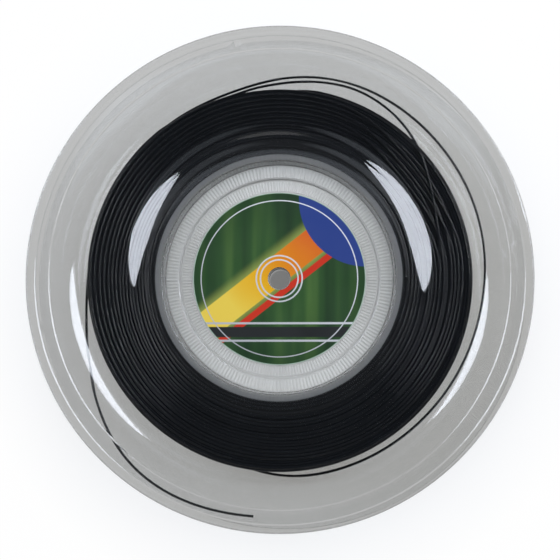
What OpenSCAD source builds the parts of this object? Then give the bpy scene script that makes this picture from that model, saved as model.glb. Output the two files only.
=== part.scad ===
// String reel: two clear dished flanges pressed onto a ribbed drum, wound with round monofilament.
// The reel lies on its back flange. Z runs along the bore, and z = 0 is the face it rests on.

/* [Reel] */
// Diameter over the rims
reel_d = 254; // [230:1:320]
// Width over the two flanges
reel_w = 36; // [30:0.5:50]
// Wall of the flanges
wall = 1.5; // [1:0.1:2.2]

/* [Hub] */
// Bore for the spindle
bore_d = 11; // [8:0.1:14]
// Wall of the centre tube
tube_wall = 2; // [1.2:0.1:3]
// Diameter of the drum that the string is wound on
drum_d = 124; // [100:1:150]
// Wall of the drum outside its crush ribs
drum_wall = 0.9; // [0.6:0.1:2]
// Fine ribs round the hub: crush ribs in the drum, and serrations on the terraces
ribs = 200; // [60:10:240]
// Height of a crush rib, which is a deep V on the drum's inner wall
crush_h = 1.3; // [0.4:0.1:3]
// Height of a serration
serration_h = 0.3; // [0.1:0.05:0.6]
// Draft of the hub cup's wall, from its rim to its floor
cup_draft = 0.6; // [0.3:0.1:2]
// Width of the upper terrace round the cup's floor
terrace_w = 7; // [3:0.5:12]
// Height of the upper terrace above the lower one
step_h = 1.2; // [0.4:0.1:2]
// Depth of the lower terrace, which carries the label, below the rims
web_depth = 11; // [8:0.5:13.5]

/* [Flange face] */
// Width of the raised collar round the hub
collar_w = 7.3; // [4:0.1:12]
// Depth of the dished face below the collar
dish_depth = 3; // [2.7:0.1:5]
// Width of the slope from the collar down into the dish
collar_slope_w = 13; // [8:0.5:15]
// Width of the flat ring between the dish and the outer ring
shelf_w = 7; // [5:0.5:14]
// Height of that ring above the dish
shelf_h = 2.2; // [0.6:0.1:2.5]
// Width of the slope up to it
shelf_slope_w = 8; // [4:0.5:10]
// Width of the outer ring
ring_w = 7; // [4:0.5:10]
// Height of the outer ring above the shelf
ring_h = 0.4; // [0.2:0.1:0.7]
// Width of the raised rim
rim_w = 5.2; // [4.5:0.1:8]

/* [Label] */
// Bare ring between the label and the step up to the upper terrace
label_margin = 7; // [1.5:0.5:20]
// Thickness of the label
label_t = 0.2; // [0.1:0.05:0.4]

/* [String] */
// Thickness of the string
string_d = 1.3; // [1:0.05:1.6]
// Diameter of the wound pack
pack_d = 192; // [160:1:216]

/* [Hidden] */

$fn = 96;
clear_plastic = [0.80, 0.83, 0.86, 0.45];
string_black = [0.10, 0.10, 0.11];

// Clearances
fit_gap = 0.1;        // between pieces that are pressed together
label_gap = 0.3;      // from the bore to the label's hole
lay_gap = 0.1;        // between the pack and the string that lies on it
drum_gap = 0.2;       // between the pack and the drum
strand_gap = 0.7;     // all the room that a strand has between the pack's front flank and the flange

// Radii and heights. A flange is drawn from the reel's middle plane, where h = 0.
half_w = reel_w / 2;
reel_r = reel_d / 2;
bore_r = bore_d / 2;
tube_r = bore_r + tube_wall;
drum_r = drum_d / 2;
spigot_r = drum_r - drum_wall - crush_h - fit_gap;
cup_top_r = spigot_r - wall;
cup_r = cup_top_r - cup_draft;
step_r = cup_r - terrace_w;
label_r = step_r - label_margin;
web_h = half_w - web_depth;
terrace_h = web_h + step_h;
edge_round = 0.5;     // rounding from the cup's wall over to the collar
step_run = 0.6;       // run of the small step between the terraces
serration_end = 0.5;  // bare edge at each end of a serration

// Face of a flange, from the collar to the rim
collar_r = cup_top_r + edge_round + collar_w;
dish_r0 = collar_r + collar_slope_w;
rim_r0 = reel_r - rim_w;
ring_r0 = rim_r0 - ring_w;
ring_run = 1;         // run of the step up to the outer ring
rim_run = 1.2;        // run of the step up to the rim
shelf_r0 = ring_r0 - shelf_w;
dish_r1 = shelf_r0 - shelf_slope_w;
dish_z = half_w - dish_depth;
shelf_z = dish_z + shelf_h;
ring_z = shelf_z + ring_h;
face_steps = 10;      // facets in a slope of the face

// Stiffening ribs under the web and witness ribs on the outer ring
web_ribs = 4;
web_rib_t = 1.2;
web_rib_low = 1.5;    // height of a rib's lower edge, so the two flanges' ribs stay apart
witness_angles = [7, 101, 191.5, 278];
witness_w = 0.6;
witness_h = 0.15;

// Centre joint: the front tube goes into a sleeve of the back tube
sleeve_wall = 1.5;
sleeve_room = 1.5;    // from the sleeve's end to the front web

// A slope of two arcs between two levels, as points of the face. It is steepest halfway.
function slope(r0, z0, r1, z1, steps) =
    [for (i = [0:steps]) let (t = i / steps, rise = t < 0.5 ? 2 * t * t : 1 - 2 * (1 - t) * (1 - t))
        [r0 + (r1 - r0) * t, z0 + (z1 - z0) * rise]];

// A half circle round a point, from its top out and down to its foot
function half_round(rc, zc, radius, steps) =
    [for (i = [0:steps]) let (t = 180 * i / steps) [rc + radius * sin(t), zc + radius * cos(t)]];

function reversed(list) = [for (i = [len(list) - 1:-1:0]) list[i]];
function raised(list, dz) = [for (p = list) [p[0], p[1] + dz]];

// The face as points, the collar first. Its rim is level with the collar.
face = concat(
    slope(collar_r, half_w, dish_r0, dish_z, face_steps),
    slope(dish_r1, dish_z, shelf_r0, shelf_z, face_steps),
    slope(ring_r0, shelf_z, ring_r0 + ring_run, ring_z, 4),
    slope(rim_r0, ring_z, rim_r0 + rim_run, half_w, 4));

// Heights of the two flanges' inner faces at a radius, in the reel's frame
function front_in(r) = half_w + lookup(r, face) - wall;
function back_in(r) = reel_w - front_in(r);

// Outline of a flange, turned round the bore
module flange_outline() {
    cup_round = [for (i = [0:6]) let (t = 90 * i / 6)
        [cup_top_r + edge_round * (1 - cos(t)), half_w - edge_round * (1 - sin(t))]];
    polygon(concat(
        [[bore_r, 0], [bore_r, web_h], [step_r - step_run, web_h], [step_r, terrace_h], [cup_r, terrace_h]],
        cup_round,
        face,
        half_round(reel_r - wall / 2, half_w - wall / 2, wall / 2, 10),
        reversed(raised(face, -wall)),
        [[spigot_r, half_w - wall], [cup_r + wall, terrace_h - wall],
         [step_r + wall / 2, terrace_h - wall], [step_r, web_h - wall],
         [tube_r, web_h - wall], [tube_r, 0]]));
}

// A ring of fine radial serrations that stand on a terrace
module serrations(r0, r1, h) {
    edge = [cos(90 / ribs), sin(90 / ribs)];     // along a serration's side, half a tooth from its middle
    for (i = [0:ribs - 1]) rotate((i + 0.5) * 360 / ribs) translate([0, 0, h - wall / 2])
        linear_extrude(wall / 2 + serration_h)
            polygon([r0 * edge, r0 * [edge[0], -edge[1]], r1 * [edge[0], -edge[1]], r1 * edge]);
}

module flange_body() {
    rotate_extrude() flange_outline();
    serrations(label_r + serration_end, step_r - step_run - serration_end, web_h);
    serrations(step_r + serration_end, cup_r - serration_end, terrace_h);
    // stiffening ribs under the web, from the tube to the cup's wall
    for (i = [0:web_ribs - 1]) rotate(i * 360 / web_ribs) rotate([90, 0, 0])
        translate([0, 0, -web_rib_t / 2]) linear_extrude(web_rib_t)
            polygon([[tube_r + sleeve_wall + 2 * fit_gap, web_rib_low],
                     [cup_r, web_rib_low],
                     [cup_r + wall / 2, terrace_h - wall / 2],
                     [step_r + wall, terrace_h - wall / 2],
                     [step_r, web_h - wall / 2],
                     [tube_r + sleeve_wall + 2 * fit_gap, web_h - wall / 2]]);
    // witness ribs across the outer ring
    for (a = witness_angles) rotate(a)
        translate([ring_r0 + ring_run, -witness_w / 2, ring_z - wall / 2])
            cube([ring_w - ring_run, witness_w, wall / 2 + witness_h]);
}

module front_flange() {
    color(clear_plastic) translate([0, 0, half_w]) flange_body();
}

module back_flange() {
    color(clear_plastic) {
        translate([0, 0, half_w]) mirror([0, 0, 1]) flange_body();
        // socket sleeve, from the web past the middle plane, which the front tube's end goes into
        sleeve_foot = web_h - wall / 2;
        sleeve_reach = web_h - wall - sleeve_room;
        translate([0, 0, half_w - sleeve_foot]) difference() {
            cylinder(r = tube_r + fit_gap + sleeve_wall, h = sleeve_foot + sleeve_reach);
            translate([0, 0, -1]) cylinder(r = bore_r + tube_wall / 2, h = sleeve_foot + sleeve_reach + 2);
            translate([0, 0, sleeve_foot]) cylinder(r = tube_r + fit_gap, h = sleeve_reach + 1);
        }
    }
}

// Barrel between the flanges. Its inner wall is all crush ribs, which grip the flanges' spigots.
module drum() {
    rib_step = 180 / ribs;
    ribbed_r = drum_r - drum_wall;
    color(clear_plastic) translate([0, 0, wall]) linear_extrude(reel_w - 2 * wall) difference() {
        circle(r = drum_r, $fn = 2 * ribs);
        polygon([for (i = [0:2 * ribs - 1])
            (ribbed_r - (i % 2) * crush_h) * [cos(i * rib_step), sin(i * rib_step)]]);
    }
}

module front_label() {
    color("forestgreen") translate([0, 0, half_w + web_h]) difference() {
        cylinder(r = label_r, h = label_t);
        translate([0, 0, -1]) cylinder(r = bore_r + label_gap, h = label_t + 2);
    }
}

// ---- String ----
pack_r = pack_d / 2;
string_r = string_d / 2;
turn_r = pack_r - string_r;                 // middle of the outer turns
turn_rings = 24;                            // rings of the tube in one turn
core_r = turn_r * cos(180 / turn_rings) - string_r - lay_gap; // the packed layers under them
core_in_r = drum_r + drum_gap;
core_round = 0.8;
flank_room = string_d + strand_gap;         // from the pack's front flank to the front flange
flank_lift = 0.2;                           // keeps the pack off the slopes of the back flange
ridge_depth = 0.35;                         // grooves between the turns of a flank
ridge_width = 1.6;
ridge_span = core_r - core_round - core_in_r;
ridge_steps = 2 * floor(ridge_span / ridge_width);

// The pack's flanks, grooved where turn lies beside turn. The back one rests on the back flange.
function flank_top(r) = front_in(r) - flank_room;
function flank_low(r) = back_in(r) + (r < dish_r0 ? flank_lift : 0);
flank_r = [for (i = [0:ridge_steps]) core_in_r + i * ridge_span / ridge_steps];
front_flank = [for (i = [0:ridge_steps]) [flank_r[i], flank_top(flank_r[i]) - (i % 2) * ridge_depth]];
back_flank = [for (i = [0:ridge_steps]) [flank_r[i], flank_low(flank_r[i]) + (i % 2) * ridge_depth]];

// The hollow that a strand comes up from
hollow_angle = 2;
hollow_share = -0.88;
hollow_depth = string_d + strand_gap;
hollow_w = 4.6;
hollow_len = 20;

// Layers under the outer turns, packed on the drum
module string_core() {
    hollow_r = share_r(hollow_share);
    color(string_black) difference() {
        rotate_extrude() polygon(concat(front_flank,
            [[core_r, flank_top(core_r) - core_round], [core_r, flank_low(core_r) + core_round]],
            reversed(back_flank)));
        rotate(hollow_angle) translate([hollow_r - hollow_w / 3, 0, flank_top(hollow_r) - hollow_depth])
            cube([hollow_w, hollow_len, hollow_depth + dish_depth]);
    }
}

// Places in the open channel between the flanges, as [share, level]. Share 0 lies on the pack and
// share 1 at the rim, and share -1 is at the inner edge of the pack's flat flank.
// Level 0 lies on the back flange and level 1 against the front one.
lay_r = pack_r + lay_gap + string_r;
function share_r(share) = lay_r + share * (share > 0 ? rim_r0 - string_r - lay_r : lay_r - dish_r0);
function level_z(r, level) =
    back_in(r) + string_r + level * (front_in(r) - back_in(r) - string_d);
function level_of(r, z) = (z - back_in(r) - string_r) / (front_in(r) - back_in(r) - string_d);

// Value at a part of the way along an even list, as a cubic B-spline that stays within its values
function even(list, part) =
    let (last = len(list) - 1, u = part * last, k = min(floor(u), last - 1), f = u - k)
    (list[max(k - 1, 0)] * pow(1 - f, 3) + list[k] * (3 * pow(f, 3) - 6 * f * f + 4)
     + list[k + 1] * (-3 * pow(f, 3) + 3 * f * f + 3 * f + 1) + list[min(k + 2, last)] * pow(f, 3)) / 6;

// Points of a free stretch whose route, a list of [radius, level], is spread evenly from angle to angle
function radii(route) = [for (at = route) [share_r(at[0]), at[1]]];
function place(angle, at) = [at[0] * cos(angle), at[0] * sin(angle), level_z(at[0], at[1])];
function stretch(route, a0, a1, rings) =
    [for (i = [0:rings - 1]) let (part = i / (rings - 1)) place(a0 + (a1 - a0) * part, even(route, part))];

// A path whose first piece runs straight round the reel for one string's thickness
function tangent(a) = [-sin(a), cos(a), 0];
function square_start(path, a) =
    [path[0], path[0] + string_d * tangent(a), for (i = [1:len(path) - 1]) path[i]];
function square_end(path, a) = let (last = len(path) - 1)
    [for (i = [0:last - 1]) path[i], path[last] - string_d * tangent(a), path[last]];

// A round tube through a list of points, with flat ends and triangular faces
function unit(v) = v / norm(v);
function heading(path, i) = unit(path[min(i + 1, len(path) - 1)] - path[max(i - 1, 0)]);
module tube(path, sides) {
    rings = len(path);
    points = [for (i = [0:rings - 1])
        let (t = heading(path, i), u = unit(cross([0, 0, 1], t)), v = cross(t, u))
        for (k = [0:sides - 1]) path[i] + string_r * (u * cos(360 * k / sides) + v * sin(360 * k / sides))];
    walls = [for (i = [0:rings - 2]) for (k = [0:sides - 1])
        let (a = i * sides + k, b = i * sides + (k + 1) % sides)
        each [[a, b, a + sides], [b, b + sides, a + sides]]];
    last = (rings - 1) * sides;
    caps = [for (k = [1:sides - 2]) each [[0, k + 1, k], [last, last + k, last + k + 1]]];
    polyhedron(points = points, faces = concat(walls, caps), convexity = 10);
}

// Outer layer: one unbroken tube that winds from the front of the pack to its back
turn_start = 110;                           // where the strand joins it
turn_end = -122;                            // where the loose turn leaves it
turn_room = 0.5;                            // from the last turn to the back flange
least_gap = 0.46;                           // between neighbouring turns
turn_top = flank_top(turn_r) - string_r;
turn_low = back_in(turn_r) + turn_room + string_r;
turn_rest = (turn_start - turn_end) / 360;
turns = floor((turn_top - turn_low) / (string_d + least_gap) + turn_rest) - turn_rest;
turn_count = floor(turns * turn_rings);
turn_path = [for (i = [0:turn_count]) let (f = i / turn_count, a = turn_start + 360 * turns * f)
    [turn_r * cos(a), turn_r * sin(a), turn_top + (turn_low - turn_top) * f]];
function to_segment(p, a, b) = let (s = (p - a) * (b - a) / ((b - a) * (b - a)))
    norm(p - a - max(0, min(1, s)) * (b - a));
gaps = [for (i = [0:turn_count - turn_rings - 2]) min([for (j = [i + turn_rings - 2:i + turn_rings + 1])
    to_segment(turn_path[i], turn_path[j], turn_path[j + 1])]) - string_d];
echo(least_gap_between_turns = min(gaps));

module string_outer_turns() {
    color(string_black) tube(square_end(square_start(turn_path, turn_start), turn_end), 6);
}

// Free stretches. The first and last places of each are on the pieces that it joins.
hollow_at = [share_r(hollow_share),
    level_of(share_r(hollow_share), flank_top(share_r(hollow_share)) - hollow_depth / 2)];
turn_first = [turn_r, level_of(turn_r, turn_top)];
turn_last = [turn_r, level_of(turn_r, turn_low)];
strand_shares = [[-0.80, 0.985], [-0.71, 0.985], [-0.58, 0.985], [-0.42, 0.985], [-0.22, 0.985],
    [-0.02, 0.98], [0.10, 0.97], [0.18, 0.96], [0.23, 0.96], [0.25, 0.96], [0.22, 0.96],
    [0.17, 0.95], [0.11, 0.95], [0.05, 0.94], [0.01, 0.93]];
tail_shares = [[0.17, 0.10], [0.17, 0.30], [0.17, 0.50], [0.17, 0.68], [0.19, 0.81], [0.22, 0.90],
    [0.29, 0.93], [0.33, 0.94], [0.34, 0.94], [0.35, 0.94], [0.34, 0.94], [0.22, 0.91],
    [0.02, 0.84], [0.01, 0.75], [0.01, 0.68], [0.01, 0.62], [0.01, 0.57], [0.05, 0.57],
    [0.25, 0.64], [0.63, 0.80], [0.96, 0.93], [0.99, 0.97], [0.91, 0.97]];
strand_route = concat([hollow_at, hollow_at], radii(strand_shares), [turn_first, turn_first]);
tail_route = concat([turn_last, turn_last], radii(tail_shares));
tail_end = 264;
strand_rings = 28;
tail_rings = 78;

module string_flank_strand() {
    path = stretch(strand_route, hollow_angle, turn_start, strand_rings);
    color(string_black) tube(square_end(square_start(path, hollow_angle), turn_start), 8);
}

module string_tail() {
    path = stretch(tail_route, turn_end, tail_end, tail_rings);
    color(string_black) tube(square_start(path, turn_end), 8);
}

front_flange();
back_flange();
drum();
front_label();
string_core();
string_outer_turns();
string_flank_strand();
string_tail();
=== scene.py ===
# %% [markdown]
# # A reel of racket string
#
# The reel is three clear mouldings: two dished flanges that are pressed onto a ribbed drum. Black
# monofilament is wound between them, and a round printed label covers the web in the middle of the front
# flange.
#
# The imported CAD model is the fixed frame. This script loads it, builds a finer look round it in the same
# place, and gives each piece a finish made from shader nodes.

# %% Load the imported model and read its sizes
import math

import bpy
import numpy as np
from mathutils import Matrix, Vector


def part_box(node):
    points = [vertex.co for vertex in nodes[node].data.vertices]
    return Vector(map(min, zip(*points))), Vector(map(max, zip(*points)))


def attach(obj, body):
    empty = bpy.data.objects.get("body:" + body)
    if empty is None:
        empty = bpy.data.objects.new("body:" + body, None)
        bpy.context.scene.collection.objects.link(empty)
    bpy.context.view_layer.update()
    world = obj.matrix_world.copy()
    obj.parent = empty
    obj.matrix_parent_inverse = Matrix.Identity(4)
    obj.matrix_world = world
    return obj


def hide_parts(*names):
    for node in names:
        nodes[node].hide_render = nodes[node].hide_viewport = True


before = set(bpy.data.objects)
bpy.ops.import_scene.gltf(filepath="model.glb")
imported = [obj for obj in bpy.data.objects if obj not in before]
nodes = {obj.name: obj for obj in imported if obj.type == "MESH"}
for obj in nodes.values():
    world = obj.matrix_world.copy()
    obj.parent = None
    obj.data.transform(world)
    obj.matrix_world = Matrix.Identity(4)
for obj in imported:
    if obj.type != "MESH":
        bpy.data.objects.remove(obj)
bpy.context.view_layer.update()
body = "root"

MM = 0.001
reel_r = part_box("front_flange")[1].x
reel_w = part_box("front_flange")[1].z
drum_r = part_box("drum")[1].x
label_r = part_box("front_label")[1].x
half_w = reel_w / 2
web_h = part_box("front_label")[0].z - half_w
print(f"reel {2000 * reel_r:.1f} mm across and {1000 * reel_w:.1f} mm wide, drum {2000 * drum_r:.1f} mm")

# %% [markdown]
# ## Camera
#
# The reel lies on its back and the camera looks down on the label, a little from the lower right. At 0.75 m
# the two flanges show a slight parallax: the back rim peeps out round the front one.
#
# Blender's camera looks along its own -Z. A tracking constraint would do, but it leaves the roll to chance
# when the view is straight down, so the three axes are worked out here from the eye, the target and the
# world's +Y.

# %% Place the camera
eye = Vector((30 * MM, -47 * MM, 786 * MM))
target = Vector((0.8 * MM, -1.4 * MM, reel_w))
view_width = 279 * MM
sensor = 36

back = (eye - target).normalized()
right = Vector((0, 1, 0)).cross(back).normalized()
turn = Matrix((right, back.cross(right), back)).transposed().to_4x4()

camera_data = bpy.data.cameras.new("camera")
camera_data.sensor_width = sensor
camera_data.lens = sensor * (eye - target).length / view_width
camera_data.clip_start = 0.01
camera = bpy.data.objects.new("camera", camera_data)
camera.matrix_world = Matrix.Translation(eye) @ turn
bpy.context.scene.collection.objects.link(camera)
bpy.context.scene.camera = camera
print(f"camera {(eye - target).length:.3f} m away with a {camera_data.lens:.1f} mm lens")

# %% [markdown]
# ## The channel between the flanges
#
# Both flanges have the same face: a raised collar round the hub, a shallow dish, a flat shelf, an outer
# ring and the rim. Everything wound on the reel lies between the two inner faces, so the face is needed
# before the string is.
#
# The face is kept as a list of (radius, height) points, with the slopes eased at both ends as a mould maker
# would cut them. `numpy.interp` then gives its height at any radius.

# %% Face of a flange
wall = 1.5 * MM
drum_wall, crush_h = 0.9 * MM, 1.3 * MM
fit_gap = 0.1 * MM
edge_round = 0.5 * MM
collar_w, inner_slope_w, outer_slope_w = 7.3 * MM, 13 * MM, 8 * MM
shelf_w, ring_w, rim_w = 7 * MM, 7 * MM, 5.2 * MM
dish_depth, shelf_rise, ring_rise = 3 * MM, 2.2 * MM, 0.4 * MM
ring_run, rim_run = 1 * MM, 1.2 * MM

spigot_r = drum_r - drum_wall - crush_h - fit_gap
cup_top_r = spigot_r - wall
collar_r = cup_top_r + edge_round + collar_w
dish_r0, dish_z = collar_r + inner_slope_w, half_w - dish_depth
rim_r0 = reel_r - rim_w
ring_r0 = rim_r0 - ring_w
shelf_r0, shelf_z = ring_r0 - shelf_w, dish_z + shelf_rise
dish_r1 = shelf_r0 - outer_slope_w
ring_z = shelf_z + ring_rise


def slope(r0, z0, r1, z1, steps):
    """Points of a slope of two arcs, which is steepest halfway."""
    t = np.linspace(0, 1, steps + 1)
    rise = np.where(t < 0.5, 2 * t * t, 1 - 2 * (1 - t) ** 2)
    return list(zip(r0 + (r1 - r0) * t, z0 + (z1 - z0) * rise))


face = [*slope(collar_r, half_w, dish_r0, dish_z, 20),
        *slope(dish_r1, dish_z, shelf_r0, shelf_z, 20),
        *slope(ring_r0, shelf_z, ring_r0 + ring_run, ring_z, 10),
        *slope(rim_r0, ring_z, rim_r0 + rim_run, half_w, 10)]


def front_in(r):
    """Height of the front flange's inner face at a radius."""
    return half_w + float(np.interp(r, *zip(*face))) - wall


def back_in(r):
    """Height of the back flange's inner face at a radius."""
    return reel_w - front_in(r)


print(f"the channel is {1000 * (front_in(dish_r0) - back_in(dish_r0)):.1f} mm wide in the dish")

# %% [markdown]
# ## Loose string
#
# The string is one length of 1.30 mm monofilament. Two stretches of it are free. One comes up out of a
# hollow in the pack's front flank and swings out past the edge before it joins the outer layer. The other
# is the last turn: it leaves the outer layer at the back, climbs to the front flange and goes once round,
# as a springy loose loop, to a cut end near the rim.
#
# Each route is a short list of places, given as (share, level). Share 0 lies on the pack's outside, 1 at the
# rim, and -1 over the pack's flank where the dish begins. Level 0 lies on the back flange and 1 against the
# front one. A cubic B-spline smooths the list, as stiff monofilament takes no sharp bend.
#
# A curve with a round bevel is the natural way to make string: the curve keeps the true centre line, from
# which the length is measured. Blender pads a curve's box by the radius of its points, which is 1 m at
# first, so here the points carry the string's own radius and the bevel's depth is 1.

# %% Places in the channel
string_d = 1.3 * MM
string_r = string_d / 2
pack_r = 96 * MM
lay_gap, strand_play, back_gap = 0.1 * MM, 0.7 * MM, 0.5 * MM
lay_r = pack_r + lay_gap + string_r
turn_r = pack_r - string_r
flank_room = string_d + strand_play
turn_top = front_in(turn_r) - flank_room - string_r
turn_low = back_in(turn_r) + back_gap + string_r
turn_start, turn_end = 110, -122
tail_angle = 264
hollow_angle, hollow_share, hollow_depth = 2, -0.88, 1.5 * flank_room


def share_r(share):
    """Radius of a share of the way from the pack's outside to the rim, or back to the dish's start."""
    return lay_r + share * (rim_r0 - string_r - lay_r if share > 0 else lay_r - dish_r0)


def level_z(r, level):
    """Height of a string's centre at a level between the two inner faces."""
    return back_in(r) + string_r + level * (front_in(r) - back_in(r) - string_d)


def level_of(r, z):
    """Level of a string's centre at a height."""
    return (z - back_in(r) - string_r) / (front_in(r) - back_in(r) - string_d)


def eased(places, part):
    """Place at a part of the way along an even list, as a cubic B-spline."""
    last = len(places) - 1
    k = min(int(part * last), last - 1)
    f = part * last - k
    a, b, c, d = (np.array(places[i]) for i in (max(k - 1, 0), k, k + 1, min(k + 2, last)))
    return (a * (1 - f) ** 3 + b * (3 * f ** 3 - 6 * f * f + 4)
            + c * (-3 * f ** 3 + 3 * f * f + 3 * f + 1) + d * f ** 3) / 6


def round_the_reel(places, angle0, angle1, count):
    """Points of a free stretch whose places are spread evenly from angle to angle."""
    points = []
    for i in range(count):
        r, level = eased(places, i / (count - 1))
        angle = math.radians(angle0 + (angle1 - angle0) * i / (count - 1))
        points.append(Vector((r * math.cos(angle), r * math.sin(angle), level_z(r, level))))
    return points


def string_curve(name, points, fineness=6):
    """One stretch of string: a round bevelled curve through the points, which carry its radius."""
    data = bpy.data.curves.new(name, "CURVE")
    data.dimensions = "3D"
    data.bevel_depth = 1
    data.bevel_resolution = fineness
    data.use_fill_caps = True
    spline = data.splines.new("POLY")
    spline.points.add(len(points) - 1)
    spline.points.foreach_set("co", [x for p in points for x in (*p, 1)])
    spline.points.foreach_set("radius", [string_r] * len(points))
    spline.use_smooth = True
    piece = bpy.data.objects.new(name, data)
    bpy.context.scene.collection.objects.link(piece)
    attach(piece, body)
    return piece


def length_of(points):
    """Length of a stretch along its centre line."""
    return sum((b - a).length for a, b in zip(points, points[1:]))


print(f"outer layer centred {1000 * turn_r:.2f} mm off the axis, loose string from {1000 * lay_r:.2f} mm on")

# %% [markdown]
# The last turn starts where the outer layer ends, near the back flange. A reel is sold with its end slipped
# under or left to spring out, so the turn stands off the pack, leans on the front flange and ends in a
# plain cut near the rim. Its first place comes twice, which makes the spline begin on the outer layer
# itself.

# %% The last turn, with its cut end
tail_shares = [(0.17, 0.10), (0.17, 0.30), (0.17, 0.50), (0.17, 0.68), (0.19, 0.81), (0.22, 0.90),
               (0.29, 0.93), (0.33, 0.94), (0.34, 0.94), (0.35, 0.94), (0.34, 0.94), (0.22, 0.91),
               (0.02, 0.84), (0.01, 0.75), (0.01, 0.68), (0.01, 0.62), (0.01, 0.57), (0.05, 0.57),
               (0.25, 0.64), (0.63, 0.80), (0.96, 0.93), (0.99, 0.97), (0.91, 0.97)]
turn_last = (turn_r, level_of(turn_r, turn_low))
tail_places = [turn_last, turn_last, *((share_r(share), level) for share, level in tail_shares)]
tail_points = round_the_reel(tail_places, turn_end, tail_angle, count=330)
tail = string_curve("loose_last_turn", tail_points)
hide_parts("string_tail")
print(f"last turn: {length_of(tail_points):.3f} m of string")

# %% [markdown]
# The strand comes up out of a small hollow in the front flank, crosses the turns below it just under the
# flange, swings out past the pack's edge and then joins the outer layer's first turn. It is the crossing
# that a winder leaves when a layer is begun anew. Both ends are in the pack, so its far end counts as held
# by the object.

# %% The strand that swings out of the front flank
strand_shares = [(-0.80, 0.985), (-0.71, 0.985), (-0.58, 0.985), (-0.42, 0.985), (-0.22, 0.985),
                 (-0.02, 0.98), (0.10, 0.97), (0.18, 0.96), (0.23, 0.96), (0.25, 0.96), (0.22, 0.96),
                 (0.17, 0.95), (0.11, 0.95), (0.05, 0.94), (0.01, 0.93)]
hollow_r = share_r(hollow_share)
hollow_place = (hollow_r, level_of(hollow_r, front_in(hollow_r) - hollow_depth))
turn_first = (turn_r, level_of(turn_r, turn_top))
strand_places = [hollow_place, hollow_place, *((share_r(share), level) for share, level in strand_shares),
                 turn_first, turn_first]
strand_points = round_the_reel(strand_places, hollow_angle, turn_start, count=140)
strand = string_curve("flank_strand", strand_points)
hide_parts("string_flank_strand")
print(f"flank strand: {length_of(strand_points):.3f} m of string")

# %% [markdown]
# ## The wound pack
#
# A full pack holds 200 m of string, some 400 turns. Modelling all of them would hide nearly all of the
# work, so only the turns that show are made: the outer layer, one slipped turn and the two flanks. A dark
# core fills the inside.
#
# The outer layer is one helix whose turns lie against each other, as a winding machine lays them. It ends
# exactly where the two loose stretches begin, so its number of turns is a whole number less the part
# between their ends.

# %% Outer layer
lay_pitch = 1.357 * MM
rest = (turn_start - turn_end) / 360
outer_turns = round((turn_top - turn_low) / lay_pitch + rest) - rest
outer_steps = int(outer_turns * 90)
outer_points = []
for i in range(outer_steps + 1):
    part = i / outer_steps
    angle = math.radians(turn_start + 360 * outer_turns * part)
    outer_points.append(Vector((turn_r * math.cos(angle), turn_r * math.sin(angle),
                                turn_top + (turn_low - turn_top) * part)))
outer_layer = string_curve("outer_layer", outer_points, fineness=4)
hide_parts("string_outer_turns")
print(f"outer layer: {outer_turns:.2f} turns")

# %% [markdown]
# One turn has slipped out of the flank onto the outer layer, which happens when a reel is handled. Round
# string nests in the groove between two others: with the groove's two turns half a pitch to each side, the
# three centres make a triangle whose sides are one string thick, which gives the slipped turn's radius.
# Over its first and last degrees it sinks back into the pack.

# %% Slipped turn
slipped_start, slipped_end, slipped_fade = 118, 450, 12
slipped_dip = 1.6 * MM
slipped_r = turn_r + math.sqrt(string_d ** 2 - (lay_pitch / 2) ** 2)
slipped_points = []
for degrees in range(slipped_start, slipped_end + 1):
    from_end = min(degrees - slipped_start, slipped_end - degrees)
    sunk = 0.5 + 0.5 * math.cos(math.pi * min(from_end / slipped_fade, 1))
    r, angle = slipped_r - slipped_dip * sunk, math.radians(degrees)
    z = turn_top - lay_pitch * ((degrees - turn_start) / 360 + 0.5)
    slipped_points.append(Vector((r * math.cos(angle), r * math.sin(angle), z)))
slipped_turn = string_curve("slipped_turn", slipped_points, fineness=4)
print(f"slipped turn: {slipped_end - slipped_start} degrees round the pack")

# %% [markdown]
# On a flank the turns of many layers end beside each other at slightly different heights. That unevenness
# gives a flank its broken, glinting rings. So each turn of the spiral gets a small rise of its own from a
# seeded random draw, and a drift off centre that blends smoothly into the next turn's. Most of the drift is
# a running sum of nine draws. Neighbours share eight of them, because they lie on the same string; a small
# jitter is a turn's own.
#
# The pitch grows a little outwards, where the winding is looser. At the upper right every other turn, from
# the seventh on, is pulled straight across its neighbours, as happens when a turn jumps back towards the
# hub.

# %% Flanks
rng = np.random.default_rng(7)
flank_r0, flank_r1 = drum_r + 1.6 * MM, turn_r - 1.9 * MM
flank_slack = 0.6 * MM
flank_pitch, pitch_growth = 1.45 * MM, 0.04 * MM
last_pitch = math.sqrt(flank_pitch ** 2 + 2 * pitch_growth * (flank_r1 - flank_r0))
flank_turns = (last_pitch - flank_pitch) / pitch_growth
draws, shared_by, drift_scale = 40, 9, 3.6
rises = rng.uniform(-0.30, 0.0, draws) * MM
drift = rng.normal(0, 1.0, (2, draws + shared_by - 1))
jitter = rng.normal(0, 0.16, (2, draws))
drift = np.array([np.convolve(row, np.ones(shared_by) / drift_scale, "valid") for row in drift])
swings = (drift + jitter) * MM
taut_from, taut_middle, taut_half = 5, 38, 34
taut_pull, taut_lift = 4.5 * MM, 0.65 * MM
back_flank_gap = 0.65 * MM


def by_turn(values, turn):
    """A value that passes smoothly from one turn's to the next's."""
    k = int(turn)
    f = turn - k
    return values[k] + (values[k + 1] - values[k]) * f * f * (3 - 2 * f)


def taut_share(turn, angle):
    """How far every other turn is pulled straight over its neighbours, from 0 to 1."""
    if int(turn) % 2 or int(turn) < taut_from:
        return 0
    away = abs((math.degrees(angle) - taut_middle + 180) % 360 - 180)
    return 0.5 + 0.5 * math.cos(math.pi * min(away / taut_half, 1))


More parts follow.
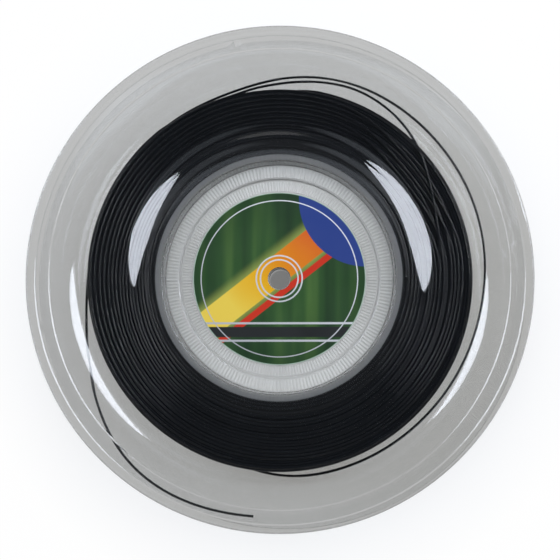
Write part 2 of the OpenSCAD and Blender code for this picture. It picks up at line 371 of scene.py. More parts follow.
def flank_spiral(height, per_turn):
    """A spiral whose turns lie a little off centre, each its own way, so that they close up and cross."""
    points = []
    for i in range(int(flank_turns * per_turn)):
        turn = i / per_turn
        angle = 2 * math.pi * turn
        swing = by_turn(swings[0], turn) * math.cos(angle) + by_turn(swings[1], turn) * math.sin(angle)
        taut = taut_share(turn, angle)
        r = flank_r0 + flank_pitch * turn + pitch_growth * turn * turn / 2 + swing
        r = min(max(r, flank_r0 - flank_slack), flank_r1 + flank_slack) - taut_pull * taut
        lift = by_turn(rises, turn) + taut_lift * min(3 * taut, 1)
        points.append(Vector((r * math.cos(angle), r * math.sin(angle), height(r) + lift)))
    return points


def front_rest(r):
    """Height of a string's centre on the front flank."""
    return front_in(r) - flank_room - string_r


def back_rest(r):
    """Height of a string's centre on the back flank."""
    return back_in(r) + back_flank_gap + string_r


front_flank = string_curve("front_flank_turns", flank_spiral(front_rest, per_turn=110), fineness=4)
back_flank = string_curve("back_flank_turns", flank_spiral(back_rest, per_turn=80), fineness=2)
print(f"each flank: {flank_turns:.1f} turns")

# %% [markdown]
# The core fills the pack below the turns that show, with shallow grooves where its own turns would lie. It
# is a plain turned body. `turned` makes every round piece here: it takes a closed outline of (radius,
# height) points, copies it round Z and joins the copies with quads, which is what Blender's Screw modifier
# does too, but numpy arrays leave room to lift single ribs later on.

# %% Turned bodies
def turned(name, outline, segments, reshape=None, plates=()):
    """A closed body made by turning an outline round Z.

    `reshape` may move single points of the rings, and `plates` are flat ribs that belong to the same body.
    """
    outline = np.array(outline)
    area = np.sum(outline[:, 0] * np.roll(outline[:, 1], -1) - np.roll(outline[:, 0], -1) * outline[:, 1])
    if area < 0:
        outline = outline[::-1]
    count = len(outline)
    angles = 2 * np.pi * np.arange(segments) / segments
    r, z = (np.tile(outline[:, axis], (segments, 1)) for axis in (0, 1))
    if reshape is not None:
        r, z = reshape(r, z, np.arange(segments)[:, None])
    points = np.stack([r * np.cos(angles)[:, None], r * np.sin(angles)[:, None], z], axis=-1).reshape(-1, 3)
    i, j = (x.ravel() for x in np.meshgrid(np.arange(segments), np.arange(count), indexing="ij"))
    i2, j2 = (i + 1) % segments, (j + 1) % count
    quads = np.stack([i * count + j, i2 * count + j, i2 * count + j2, i * count + j2], axis=1)
    points, quads = points.tolist(), quads.tolist()
    for corners, sides in plates:
        quads += [[len(points) + k for k in side] for side in sides]
        points += corners
    mesh = bpy.data.meshes.new(name)
    mesh.from_pydata(points, [], quads)
    mesh.shade_smooth()
    mesh.set_sharp_from_angle(angle=math.radians(28))
    piece = bpy.data.objects.new(name, mesh)
    bpy.context.scene.collection.objects.link(piece)
    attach(piece, body)
    return piece


core_r = turn_r - string_r * 0.6
core_low, core_top, core_gap = 1.3 * MM, 0.8 * MM, 0.2 * MM
core_radii = np.linspace(drum_r + core_gap, core_r, 193)
groove_h = 0.2 * MM
grooves = groove_h * np.cos(2 * math.pi * (core_radii - core_r) / lay_pitch)
core_outline = [*((r, front_in(r) - flank_room - core_top + g) for r, g in zip(core_radii, grooves)),
                *((r, back_in(r) + core_low) for r in core_radii[::-8])]
pack_core = turned("pack_core", core_outline, 160)
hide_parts("string_core")
print(f"pack core: {len(pack_core.data.polygons)} faces")

# %% [markdown]
# ## Flanges
#
# A flange is a thin shell that one mould makes: a centre tube, a web with two terraces, a cup wall that
# plugs into the drum, the dished face and a raised rim with a rounded edge. Its outline goes once round the
# wall, first along the outside from the bore to the rim, and then back along the inside.
#
# The two terraces carry 200 fine radial serrations each. As the body has exactly two segments for each
# serration, lifting every second copy of the terrace's points gives sharp V ribs that belong to the same
# closed skin. Clear plastic shows every inner face, so ribs that only sat on top of the shell would be seen
# as doubled walls.

# %% Outline of a flange
bore_r, tube_wall = 5.5 * MM, 2 * MM
tube_r = bore_r + tube_wall
cup_draft, terrace_w, terrace_rise, step_run = 0.6 * MM, 7 * MM, 1.2 * MM, 0.6 * MM
cup_r = cup_top_r - cup_draft
step_r = cup_r - terrace_w
terrace_h = web_h + terrace_rise
ribs, serration_h = 200, 0.3 * MM
band_ease, band_margin = 0.25 * MM, 0.5 * MM
bands = [(label_r + band_margin, step_r - step_run - band_margin),
         (step_r + band_margin, cup_r - band_margin)]
bore_bevel = 0.15 * MM
sleeve_wall, sleeve_short = 1.5 * MM, 1.5 * MM


def half_round(rc, zc, radius, steps):
    """Points of a half circle that bulges outwards."""
    t = np.linspace(0, math.pi, steps + 1)
    return list(zip(rc + radius * np.sin(t), zc + radius * np.cos(t)))


def band_points(band, h):
    """Points of a terrace's band, with an eased place at both ends where its serrations run out."""
    r0, r1 = band
    return [(r0, h), (r0 + band_ease, h), (r1 - band_ease, h), (r1, h)]


cup_round = [(cup_top_r + edge_round * (1 - math.cos(t)), half_w - edge_round * (1 - math.sin(t)))
             for t in np.linspace(0, math.pi / 2, 9)]
outside = [(bore_r, 0), (bore_r, web_h - bore_bevel), (bore_r + bore_bevel, web_h),
           *band_points(bands[0], web_h), (step_r - step_run, web_h), (step_r, terrace_h),
           *band_points(bands[1], terrace_h), (cup_r, terrace_h), *cup_round, *face,
           *half_round(reel_r - wall / 2, half_w - wall / 2, wall / 2, steps=14)]
inside = [*((r, h - wall) for r, h in face[::-1]),
          (spigot_r, half_w - wall), (cup_r + wall, terrace_h - wall), (step_r + wall / 2, terrace_h - wall),
          (step_r, web_h - wall)]
sleeve_r = tube_r + fit_gap + sleeve_wall
sleeve_end = -(web_h - wall - sleeve_short)
plain_tube = [(tube_r, web_h - wall), (tube_r, 0)]
sleeve_tube = [(sleeve_r, web_h - wall), (sleeve_r, sleeve_end), (tube_r + fit_gap, sleeve_end),
               (tube_r + fit_gap, 0)]
print(f"flange outline: {len(outside)} points outside, {len(inside)} inside")

# %% [markdown]
# Both flanges come from the one outline. The back one is its mirror image, with a sleeve for a tube: the
# front flange's tube plugs into it, which lines the two up before they are pressed home.
#
# Four small plates under the web stiffen it. They belong to the same body and sink into its wall by a hair,
# so that no gap shows. On the outer ring a mould leaves faint marks where its parts meet, so four places of
# the ring are lifted by six hundredths of a millimetre.

# %% Turn the two flanges
under, touch = 0.05 * MM, 0.01 * MM
witness_h = 0.06 * MM
witness_rings = [round(degrees / 360 * 2 * ribs) for degrees in (7, 101, 191.5, 278)]


def serrate(side):
    """Raises the terrace bands on every second ring of a flange, and the four faint marks."""
    def reshape(r, z, ring):
        h = (z - half_w) * side
        for (r0, r1), level in zip(bands, (web_h, terrace_h)):
            on_band = (r > r0 + band_ease / 2) & (r < r1 - band_ease / 2) & (abs(h - level) < touch)
            z = np.where(on_band & (ring % 2 == 1), z + side * serration_h, z)
        on_ring = (r > ring_r0 + ring_run - under) & (r < rim_r0 + under) & (abs(h - ring_z) < touch)
        z = np.where(on_ring & np.isin(ring, witness_rings), z + side * witness_h, z)
        return r, z
    return reshape


def plate(corners, degrees, thickness, side):
    """An upright flat rib: its (radius, height) corners stand in the half plane at an angle round Z."""
    a = math.radians(degrees)
    count = len(corners)
    points = [(r * math.cos(a) - t * math.sin(a), r * math.sin(a) + t * math.cos(a), half_w + side * h)
              for t in (-thickness / 2, thickness / 2) for r, h in corners]
    front, rear = list(range(count)), list(range(2 * count - 1, count - 1, -1))
    sides = [front, rear, *([(k + 1) % count, k, k + count, (k + 1) % count + count] for k in range(count))]
    return points, [corner_list[::side] for corner_list in sides]


rib_r0, rib_foot, rib_w = tube_r + 1.7 * MM, 1.5 * MM, 1.2 * MM
web_rib = [(rib_r0, rib_foot), (cup_r, rib_foot), (cup_r + wall - under, terrace_h - wall + under),
           (step_r + wall / 2, terrace_h - wall + under), (step_r, web_h - wall + under),
           (rib_r0, web_h - wall + under)]


def flange(name, node, tube, side):
    """One flange: side 1 is the front one and -1 the back one."""
    outline = [(r, half_w + side * h) for r, h in outside + inside + tube]
    plates = [plate(web_rib, degrees, rib_w, side) for degrees in (0, 90, 180, 270)]
    piece = turned(name, outline, 2 * ribs, serrate(side), plates)
    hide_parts(node)
    return piece


front_moulding = flange("front_moulding", "front_flange", plain_tube, 1)
back_moulding = flange("back_moulding", "back_flange", sleeve_tube, -1)
print(f"each flange: {len(front_moulding.data.polygons)} faces")

# %% [markdown]
# ## Drum
#
# The drum is a thin barrel. Its inner wall is a comb of 200 deep V ribs that grip the cups of both flanges;
# seen from above through the collar they make the fine ribbed band round the hub. It is the same kind of
# turned body: on every second ring the inner wall stands further in.

# %% Turn the drum
rib_tip_r, rib_root_r = drum_r - drum_wall - crush_h, drum_r - drum_wall
drum_low, drum_top = wall, reel_w - wall


def comb(r, z, ring):
    """Moves the inner wall in to the ribs' tips on every second ring."""
    return np.where((r < drum_r - drum_wall / 2) & (ring % 2 == 1), rib_tip_r, r), z


drum_outline = [(drum_r, drum_low), (drum_r, drum_top), (rib_root_r, drum_top), (rib_root_r, drum_low)]
drum = turned("drum_barrel", drum_outline, 2 * ribs, comb)
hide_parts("drum")
print(f"drum: {len(drum.data.polygons)} faces")

# %% [markdown]
# ## Shader tools
#
# Each finish is a small node tree. `shader` makes an empty material, and `add` puts in one node, with its
# inputs in order or by name, each a number or another node's output. With these two, a tree reads from top
# to bottom like a recipe.

# %% Shader tools
def shader(name):
    """An empty material, its node tree and its output node."""
    material = bpy.data.materials.new(name)
    material.use_nodes = True
    material.node_tree.nodes.clear()
    return material, material.node_tree, material.node_tree.nodes.new("ShaderNodeOutputMaterial")


def add(tree, kind, *inputs, out=0, named=None, **settings):
    """Adds one node and returns one of its outputs."""
    node = tree.nodes.new("ShaderNode" + kind)
    for key, value in settings.items():
        setattr(node, key, value)
    for key, value in [*enumerate(inputs), *(named or {}).items()]:
        if isinstance(value, bpy.types.NodeSocket):
            tree.links.new(value, node.inputs[key])
        elif value is not None:
            node.inputs[key].default_value = value
    return node.outputs[out]


def sums(tree, operation, *values):
    """One step of arithmetic, named by its operation."""
    return add(tree, "Math", *values, operation=operation)


def ramp(tree, value, *stops):
    """A colour ramp with (place, grey or colour) stops."""
    out = add(tree, "ValToRGB", value)
    band = out.node.color_ramp
    for k, (place, colour) in enumerate(stops):
        stop = band.elements[k] if k < 2 else band.elements.new(place)
        stop.position = place
        stop.color = (*colour, 1) if isinstance(colour, tuple) else (colour, colour, colour, 1)
    return out


def polar(tree):
    """The point, its distance from the reel's axis, and its turn round it from -0.5 to 0.5."""
    point = add(tree, "TexCoord", out=3)
    flat = add(tree, "VectorMath", point, (1, 1, 0), operation="MULTIPLY")
    distance = add(tree, "VectorMath", flat, operation="LENGTH", out=1)
    split = add(tree, "SeparateXYZ", flat).node
    angle = sums(tree, "ARCTAN2", split.outputs[1], split.outputs[0])
    return point, distance, sums(tree, "DIVIDE", angle, 2 * math.pi)


print("shader tools ready")

# %% [markdown]
# ## Clear plastic
#
# The mouldings are clear polystyrene, 1.5 mm thick. Real refraction matters here, since the look comes from
# seeing the string and the other flange through two bent skins. So the shells are closed bodies with a
# transmission shader, and not thin panes with alpha.
#
# Refraction has two costs. Lamps can't reach through it, so rays that look for a lamp meet a faintly grey
# Transparent shader instead. And perfectly clear plastic looks like nothing at all: a real moulding
# scatters a little light where its mould is textured, so a share of white diffuse is mixed in by the
# distance from the axis. It is largest on the two serrated terraces.
#
# Three lists of (radius in mm, share) stops say where things change. `painted_shade` is the depth of the
# grey
# tint, which is painted shade: it darkens the clear plastic to the grey of the table in shade under the
# reel, much more over the cup's edge and the drum's ribs, and a little more on the outer ring. `scatter` is
# the share of white, and `frost` the extra roughness of a textured mould. The terraces are frosted, and so
# is the ring where the drum's ribs press on the cup, which also shows them as a faint comb. The collar
# outside it is nearly polished. Nearly all of the tint, and so of the painted shade, is on the front flange.
# The back one is almost clear and mirrors less, as `gloss` says, because its own reflections would double
# those of the front one.
#
# The stops sit where the form changes: the label's edge, the step between the terraces, the cup's edge, the
# drum's ribs up to 61.4 mm, and the collar from 62.4 to 66 mm.

# %% Clear plastic
comb_band, comb_share = [(57.6, 0.0), (58.0, 1.0), (61.2, 1.0), (61.8, 0.0)], 0.06
white_plastic, shadow_tint = (0.87, 0.85, 0.775, 1), (0.915, 0.92, 0.925, 1)


def by_radius(tree, place, stops, tint=(1, 1, 1)):
    """A ramp over the radius, whose stops are (radius in mm, share)."""
    return ramp(tree, place, *((r * MM / reel_r, tuple(share * c for c in tint)) for r, share in stops))


def clear_plastic(name, tint, painted_shade, scatter, frost, gloss=1.0):
    """Clear moulding, whose grey tint of painted shade, white scatter and frosting follow (radius in mm,
    share) stops.
    """
    material, tree, output = shader(name)
    point, distance, angle = polar(tree)
    place = sums(tree, "DIVIDE", distance, reel_r)
    teeth = sums(tree, "SINE", sums(tree, "MULTIPLY", angle, 2 * math.pi * ribs))
    teeth = add(tree, "MapRange", teeth, -0.6, 0.6, 0.0, comb_share)
    teeth = sums(tree, "MULTIPLY", teeth, by_radius(tree, place, comb_band))
    share = sums(tree, "ADD", by_radius(tree, place, scatter), teeth)
    frosted = by_radius(tree, place, frost)
    shade = by_radius(tree, place, painted_shade, tint)

    flow = add(tree, "TexNoise", point, named={"Scale": 38.0, "Detail": 3.0})
    grain = add(tree, "TexNoise", point, named={"Scale": 900.0, "Detail": 2.0})
    roughness = sums(tree, "ADD", add(tree, "MapRange", flow, 0.3, 0.7, 0.015, 0.04), frosted)
    bump = add(tree, "Bump", named={"Strength": 0.005, "Distance": 0.0006, "Height": flow})
    bump = add(tree, "Bump", named={"Strength": 0.008, "Distance": 0.00005, "Height": grain, "Normal": bump})

    plastic = add(tree, "BsdfPrincipled", named={
        "Base Color": shade, "Roughness": roughness, "IOR": 1.58, "Transmission Weight": 1.0,
        "Specular Tint": (gloss, gloss, gloss, 1), "Normal": bump})
    white = add(tree, "BsdfDiffuse", white_plastic, 0.3)
    skin = add(tree, "MixShader", share, plastic, white)
    open_air = add(tree, "BsdfTransparent", shadow_tint)
    for ray in ("Is Diffuse Ray", "Is Shadow Ray"):
        path = add(tree, "LightPath").node
        skin = add(tree, "MixShader", path.outputs[ray], skin, open_air)
    tree.links.new(skin, output.inputs["Surface"])
    return material


label_mm, step_mm, cup_mm = label_r / MM, step_r / MM, cup_r / MM
hub_scatter = [(label_mm, 0.20), (label_mm + 0.6, 0.28), (step_mm - 1.1, 0.28), (step_mm - 0.7, 0.19),
               (step_mm + 0.2, 0.19), (step_mm + 0.6, 0.31), (cup_mm - 0.6, 0.31), (cup_mm + 0.1, 0.02),
               (61.8, 0.02), (62.3, 0.001), (62.6, 0.004), (69.2, 0.004), (69.6, 0.001), (100, 0.001),
               (104, 0.015)]
hub_frost = [(label_mm - 2, 0.0), (label_mm, 0.40), (cup_mm - 0.6, 0.40), (cup_mm + 0.1, 0.0), (58.6, 0.0),
             (59.0, 0.40), (61.4, 0.40), (62.2, 0.03), (66.0, 0.03), (67.0, 0.0)]
# Painted shade: the grey tint is deepest over the cup's edge and the drum's ribs, and a little deeper past
# 115 mm.
hub_painted_shade = [(cup_mm - 1, 1.0), (cup_mm, 0.55), (61.6, 0.55), (62.4, 1.0), (115, 1.0), (119, 0.94)]
# The front flange's deep grey tint is painted shade, for the table in shade under the reel. The back
# flange's tint is nearly clear.
front_clear = clear_plastic("clear_front", (0.605, 0.602, 0.588), hub_painted_shade, hub_scatter, hub_frost)
back_clear = clear_plastic("clear_back", (0.955, 0.96, 0.965), hub_painted_shade[:4], hub_scatter, hub_frost,
                           gloss=0.3)
# The drum's grey-blue tint is painted shade that darkens the ribbed band round the hub.
drum_clear = clear_plastic("clear_drum", (0.60, 0.64, 0.70), painted_shade=[(50, 1.0), (127, 1.0)],
                           scatter=[(50, 0.004), (127, 0.004)], frost=[(50, 0.0), (127, 0.0)])
for piece, finish in ((front_moulding, front_clear), (back_moulding, back_clear), (drum, drum_clear)):
    piece.data.materials.clear()
    piece.data.materials.append(finish)
print("clear plastic on both flanges and the drum")

# %% [markdown]
# ## String
#
# Black polyester monofilament is glossy, with a smooth drawn skin. It shows as thin grey glints along each
# turn. A little unevenness in the roughness, stretched along the string, and fine drawing marks keep the
# glints from looking like wire. A dusting of scuffs lifts the black slightly where the string was handled.
#
# The core gets a dull kind of the same finish. Deep between the turns there is nothing bright to mirror.

# %% Black monofilament
def monofilament(name, roughness, gloss):
    """Black string with fine drawing marks along it."""
    material, tree, output = shader(name)
    point, distance, angle = polar(tree)
    across_it, along_it = sums(tree, "MULTIPLY", distance, 2600.0), sums(tree, "MULTIPLY", angle, 60.0)
    streak = add(tree, "CombineXYZ", across_it, along_it)
    marks = add(tree, "TexNoise", streak, named={"Scale": 1.0, "Detail": 4.0})
    cloud = add(tree, "TexNoise", point, named={"Scale": 55.0, "Detail": 3.0})
    colour = ramp(tree, cloud, (0.3, (0.0095, 0.0108, 0.0130)), (0.75, (0.0125, 0.0142, 0.0172)))
    rough = add(tree, "MapRange", marks, 0.3, 0.7, roughness - 0.04, roughness + 0.06)
    bump = add(tree, "Bump", named={"Strength": 0.06, "Distance": 0.00006, "Height": marks})
    skin = add(tree, "BsdfPrincipled", named={
        "Base Color": colour, "Roughness": rough, "IOR": 1.53, "Specular IOR Level": gloss, "Normal": bump})
    tree.links.new(skin, output.inputs["Surface"])
    return material


string_finish = monofilament("black_monofilament", roughness=0.06, gloss=0.65)
shade_finish = monofilament("packed_monofilament", roughness=0.5, gloss=0.0)
for piece in (tail, strand, outer_layer, slipped_turn, front_flank, back_flank):
    piece.data.materials.append(string_finish)
pack_core.data.materials.append(shade_finish)
print("black monofilament on the string")

# %% [markdown]
# ## Label
#
# The label is a round self-adhesive print, 87 mm across, with a hole for the spindle. The design is a
# generic one: a dark green field with soft upright streaks, a slanting yellow and orange band with a thin
# red one beside it, a blue corner, a black bar between two silver lines, and three silver rings. All of it
# is drawn by distances: a shape is where a distance is below a limit, and a smooth step gives its edge the
# width of a print's dot.

# %% Print shapes
print_dot = 0.25 * MM


def soft_edge(tree, distance, width=print_dot):
    """1 where a signed distance is below 0 and 0 above it, with a soft edge."""
    return add(tree, "MapRange", distance, -width, width, 1.0, 0.0, interpolation_type="SMOOTHSTEP")


def across(tree, point, degrees, offset):
    """Signed distance from a slanting line."""
    a = math.radians(degrees)
    along = add(tree, "VectorMath", point, (math.cos(a), math.sin(a), 0), operation="DOT_PRODUCT", out=1)
    return sums(tree, "SUBTRACT", along, offset)


def stripe(tree, point, degrees, middle, half_width, width=print_dot):
    """A straight band of ink."""
    distance = sums(tree, "ABSOLUTE", across(tree, point, degrees, middle))
    return soft_edge(tree, sums(tree, "SUBTRACT", distance, half_width), width)


def ring(tree, distance, middle, half_width):
    """A ring of ink round the axis, with a slightly finer edge."""
    away = sums(tree, "ABSOLUTE", sums(tree, "SUBTRACT", distance, middle))
    return soft_edge(tree, sums(tree, "SUBTRACT", away, half_width), 0.8 * print_dot)


def disc_at(tree, point, x, y, radius):
    """A disc of ink with its centre at a place."""
    away = add(tree, "VectorMath", point, (x, y, 0), operation="SUBTRACT")
    away = add(tree, "VectorMath", away, (1, 1, 0), operation="MULTIPLY")
    away = add(tree, "VectorMath", away, operation="LENGTH", out=1)
    return soft_edge(tree, sums(tree, "SUBTRACT", away, radius))


def over(tree, share, below, above):
    """Prints one ink over another. The Mix node's sockets 0, 6 and 7 are its share and its two colours."""
    ink = tree.nodes.new("ShaderNodeMix")
    ink.data_type = "RGBA"
    for key, value in ((0, share), (6, below), (7, above)):
        if isinstance(value, bpy.types.NodeSocket):
            tree.links.new(value, ink.inputs[key])
        else:
            ink.inputs[key].default_value = (*value, 1) if isinstance(value, tuple) else value
    return ink.outputs[2]


print("three shapes of ink: stripe, ring and disc")

# %% [markdown]
# The inks go on one after another, from the ground up, as a press lays them down. A soft cloud shifts the
# gold to orange unevenly. The edge of the label is a thin pale line where the knife has cut its face, and
# its sides show the pale film. A slight ripple and a satin roughness are what adhesive film on a moulding
# looks like.

# %% Printed label
dark_from, cut_w = 18 * MM, 0.3 * MM
slant, band_middle, band_half = 128, 4 * MM, 7 * MM
glow_half, glow_soft = 9 * MM, 3.5 * MM
red_middle, red_half = -6.5 * MM, 1.6 * MM
bar_middle, bar_half = -27 * MM, 2.6 * MM
line_middles, line_half = (-22.6 * MM, -31.4 * MM), 0.5 * MM
silver_rings = ((9.5 * MM, 0.35 * MM), (11.6 * MM, 0.35 * MM), (39.6 * MM, 0.25 * MM))
blue_x, blue_y, blue_r = 44 * MM, 40 * MM, 34 * MM
deep_green, yellow_glow, red = (0.006, 0.026, 0.009), (0.45, 0.50, 0.10), (0.55, 0.030, 0.010)
blue, black = (0.022, 0.047, 0.205), (0.016, 0.018, 0.017)
cut_edge, film = (0.42, 0.55, 0.42), (0.62, 0.72, 0.62)

label_finish, tree, output = shader("printed_label")
point, distance, _ = polar(tree)
upright = add(tree, "VectorMath", point, (1, 0.06, 0), operation="MULTIPLY")
streaks = add(tree, "TexNoise", upright, named={"Scale": 95.0, "Detail": 2.0, "Roughness": 0.4})
cloud = add(tree, "TexNoise", point, named={"Scale": 24.0, "Detail": 2.0})
green = ramp(tree, streaks, (0.30, (0.010, 0.030, 0.011)), (0.52, (0.028, 0.080, 0.020)),
             (0.68, (0.060, 0.130, 0.030)))
dark_edge = add(tree, "MapRange", distance, dark_from, label_r, 0.0, 0.55)
colour = over(tree, dark_edge, green, deep_green)

glow = stripe(tree, point, slant, band_middle, glow_half, glow_soft)
colour = over(tree, sums(tree, "MULTIPLY", glow, 0.55), colour, yellow_glow)
warm = add(tree, "MapRange", across(tree, point, slant - 90, 0), -30 * MM, 30 * MM, 0.0, 1.0)
warm = sums(tree, "ADD", warm, sums(tree, "MULTIPLY", sums(tree, "SUBTRACT", cloud, 0.5), 0.5))
gold = ramp(tree, warm, (0.0, (0.78, 0.56, 0.07)), (0.35, (0.74, 0.39, 0.008)), (0.62, (0.70, 0.22, 0.008)),
            (1.0, (0.62, 0.11, 0.010)))
colour = over(tree, stripe(tree, point, slant, band_middle, band_half), colour, gold)
colour = over(tree, stripe(tree, point, slant, red_middle, red_half), colour, red)
colour = over(tree, disc_at(tree, point, blue_x, blue_y, blue_r), colour, blue)
colour = over(tree, stripe(tree, point, 90, bar_middle, bar_half), colour, black)
# The silver ink is lighter towards the upper right: a painted sheen, where metal ink would mirror the light.
silver_painted_sheen = add(tree, "MapRange", across(tree, point, 60, 0), -40 * MM, 40 * MM, 0.42, 0.78)
silver_painted_sheen = add(tree, "CombineColor", silver_painted_sheen, silver_painted_sheen, silver_painted_sheen)
for middle, half_width in silver_rings:
    colour = over(tree, ring(tree, distance, middle, half_width), colour, silver_painted_sheen)
for middle in line_middles:
    colour = over(tree, stripe(tree, point, 90, middle, line_half), colour, silver_painted_sheen)

colour = over(tree, ring(tree, distance, label_r, cut_w), colour, cut_edge)
upward = add(tree, "SeparateXYZ", add(tree, "NewGeometry", out=1), out=2)
printed = sums(tree, "GREATER_THAN", upward, 0.5)
colour = over(tree, printed, film, colour)
ripple = add(tree, "TexNoise", point, named={"Scale": 60.0, "Detail": 2.0})
bump = add(tree, "Bump", named={"Strength": 0.08, "Distance": 0.0004, "Height": ripple})
rough = add(tree, "MapRange", ripple, 0.3, 0.7, 0.38, 0.5)
ink = add(tree, "BsdfPrincipled", named={
    "Base Color": colour, "Roughness": rough, "IOR": 1.45, "Specular IOR Level": 0.3, "Normal": bump})
tree.links.new(ink, output.inputs["Surface"])

label = nodes["front_label"]
label.data.materials.clear()
label.data.materials.append(label_finish)
print(f"label printed, {2000 * label_r:.0f} mm across")

# %% [markdown]
# ## Floor and light
#
# The reel lies on a pale table. A share of the table's brightness is a plain glow that only cameras and
# glass see: 0.6 of it under the reel, and nearly all of it about 40 mm past the rim, where the table fades
# into a white ground. The rest is light that falls on it, so the shadow stays. Seen through the reel, the
# glow is painted with shade: a little dimmer and warmer towards the lower right, away from the boxes, and
# darkest in the bore, which hardly any light reaches.

# %% Table
glow_near, glow_far, bore_shade_glow = 0.6, 0.97, 0.32
glow_starts, glow_ends = 128 * MM, 170 * MM
table_r, table_gap = 1.6, 0.4 * MM


def white_for_looks(tree):
    """1 for rays from the camera, and for those that pass through or mirror in the reel."""
    path = add(tree, "LightPath").node
    both = sums(tree, "MAXIMUM", path.outputs["Is Glossy Ray"], path.outputs["Is Transmission Ray"])
    return sums(tree, "MAXIMUM", path.outputs["Is Camera Ray"], both)


bpy.ops.mesh.primitive_circle_add(vertices=128, radius=table_r, fill_type="NGON",
                                  location=(0, 0, -table_gap))
table = bpy.context.object
table.name = "table"
material, tree, output = shader("pale_table")
point, distance, _ = polar(tree)
glow_share = add(tree, "MapRange", distance, glow_starts, glow_ends, glow_near, glow_far)
# Painted shade in the bore: the glow drops there.
bore_painted_shade = add(tree, "MapRange", distance, bore_r, tube_r, bore_shade_glow, 1.0)
glow_share = sums(tree, "MULTIPLY", glow_share, bore_painted_shade)
# Painted shade: the glow dims and warms towards the lower right, away from the boxes.
shade_lean = add(tree, "VectorMath", point, (-0.9, 0.5, 0.0), operation="DOT_PRODUCT", out=1)
beside = add(tree, "MapRange", distance, reel_r, reel_r + 4 * MM, 0.0, 1.0)
shade_lean = sums(tree, "MAXIMUM", add(tree, "MapRange", shade_lean, -0.12, 0.12, 0.0, 1.0), beside)
glow_with_painted_shade = ramp(tree, shade_lean, (0.0, (0.86, 0.85, 0.82)), (0.5, (0.96, 0.96, 0.95)), (1.0, (1.0, 1.0, 1.0)))
fleck = add(tree, "TexNoise", point, named={"Scale": 30.0})
pale = ramp(tree, fleck, (0.0, (0.95, 0.93, 0.88)), (1.0, (0.97, 0.95, 0.90)))
skin = add(tree, "MixShader", sums(tree, "MULTIPLY", glow_share, white_for_looks(tree)),
           add(tree, "BsdfDiffuse", pale), add(tree, "Emission", glow_with_painted_shade, 1.0))
tree.links.new(skin, output.inputs["Surface"])
table.data.materials.append(material)
print(f"table {1000 * table_gap:.1f} mm under the reel")

# %% [markdown]
# Two soft boxes stand to the left and right, about 50 degrees from the axis. At that height the slopes of
# the dished face mirror them as crescents, while the level parts mirror only the dim ceiling. That is what
# separates clear plastic from the black string below it. Each box is a kite that narrows towards the axis,
# so that its crescent runs out to a point at both ends. An area lamp is only ever a rectangle or an
# ellipse, so the kites are glowing meshes of a cool daylight, and a weak area lamp behind the reel fills
# in.

# %% Soft boxes
light_away = 1.6
daylight = (0.84, 0.89, 1.0, 1)


def toward(azimuth, off_axis):
    """The direction at an angle round the reel and an angle off its axis."""
    a, e = math.radians(azimuth), math.radians(off_axis)
    return Vector((math.sin(e) * math.cos(a), math.sin(e) * math.sin(a), math.cos(e)))


def soft_box(name, azimuth, spread, low, middle, high, glow):
    """A kite of light, given by its angles round the reel and off its axis."""
    corners = [(azimuth, low), (azimuth + spread, middle), (azimuth, high), (azimuth - spread, middle)]
    mesh = bpy.data.meshes.new(name)
    mesh.from_pydata([light_away * toward(*corner) for corner in corners], [], [(0, 1, 2, 3)])
    box = bpy.data.objects.new(name, mesh)
    bpy.context.scene.collection.objects.link(box)
    box.visible_camera = False
    cloth, tree, output = shader(name)
    tree.links.new(add(tree, "Emission", daylight, glow), output.inputs["Surface"])
    mesh.materials.append(cloth)


soft_box("soft_box_right", azimuth=28, spread=30, low=17, middle=52, high=64, glow=8.0)
soft_box("soft_box_left", azimuth=156, spread=23.5, low=25, middle=56, high=67, glow=7.5)

fill_data = bpy.data.lights.new("fill", "AREA")
fill_data.shape = "DISK"
fill_data.size = 1.2
fill_data.energy = 1.5
fill = bpy.data.objects.new("fill", fill_data)
fill_way = toward(95, 74)
fill.matrix_world = fill_way.to_track_quat("Z", "Y").to_matrix().to_4x4()
fill.matrix_world.translation = light_away * fill_way
fill.visible_camera = False
bpy.context.scene.collection.objects.link(fill)
print("two soft boxes and a fill lamp")

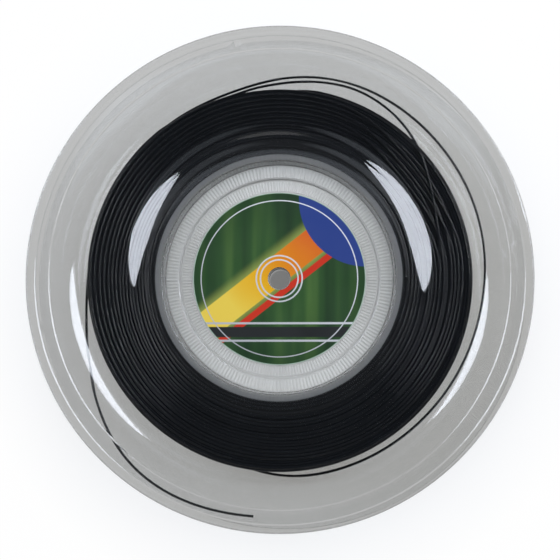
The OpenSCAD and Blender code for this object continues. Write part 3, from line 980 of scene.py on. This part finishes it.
# %% [markdown]
# The room is dark overhead and lighter towards the walls, so that level plastic stays clear and steep
# plastic gets a soft sheen. Two dim patches of ceiling give the slopes of the dish a grey glow beside the
# crescents. A narrow strip of pale ceiling stands just past the axis, where only the level collar mirrors
# it, and marks the collar's top edge. Each of its two sides is (axis, middle, half width of the full part,
# half width where it ends), in parts of a unit direction.
#
# Cameras see plain white instead of the room.

# %% Room
patches, patch_off_axis, patch_core, patch_edge = ((55, 0.45), (132, 0.30)), 27, 9, 15
strip_glow = 0.9
strip_sides = ((0, -0.037, 0.062, 0.080), (1, 0.113, 0.016, 0.030))
world = bpy.data.worlds.new("room")
bpy.context.scene.world = world
world.use_nodes = True
tree = world.node_tree
tree.nodes.clear()
output = tree.nodes.new("ShaderNodeOutputWorld")
way = add(tree, "TexCoord", out=0)
height = add(tree, "SeparateXYZ", way, out=2)
walls = ramp(tree, height, (0.0, 0.45), (0.25, 0.28), (0.5, 0.10), (0.8, 0.02), (1.0, 0.015))
for azimuth, level in patches:
    middle = toward(azimuth, patch_off_axis)
    facing = add(tree, "VectorMath", way, middle, operation="DOT_PRODUCT", out=1)
    edge, core = (math.cos(math.radians(degrees)) for degrees in (patch_edge, patch_core))
    walls = sums(tree, "MAXIMUM", walls, add(tree, "MapRange", facing, edge, core, 0.0, level))
strip = strip_glow
for axis, middle, full, none in strip_sides:
    place = add(tree, "SeparateXYZ", way, out=axis)
    aside = sums(tree, "ABSOLUTE", sums(tree, "SUBTRACT", place, middle))
    strip = sums(tree, "MULTIPLY", add(tree, "MapRange", aside, none, full, 0.0, 1.0), strip)
walls = sums(tree, "MAXIMUM", walls, strip)
walls = add(tree, "VectorMath", walls, (0.80, 0.88, 1.0), operation="MULTIPLY")
seen = add(tree, "LightPath").node.outputs["Is Camera Ray"]
room_light, plain_white = add(tree, "Background", walls, 1.0), add(tree, "Background", (1, 1, 1, 1), 1.0)
sky = add(tree, "MixShader", seen, room_light, plain_white)
tree.links.new(sky, output.inputs["Surface"])
print(f"a dim room with {len(patches)} patches and a strip of pale ceiling")

# %% [markdown]
# ## Close
#
# Standard view keeps the colours as the materials give them.

# %% View settings
bpy.context.scene.view_settings.view_transform = "Standard"
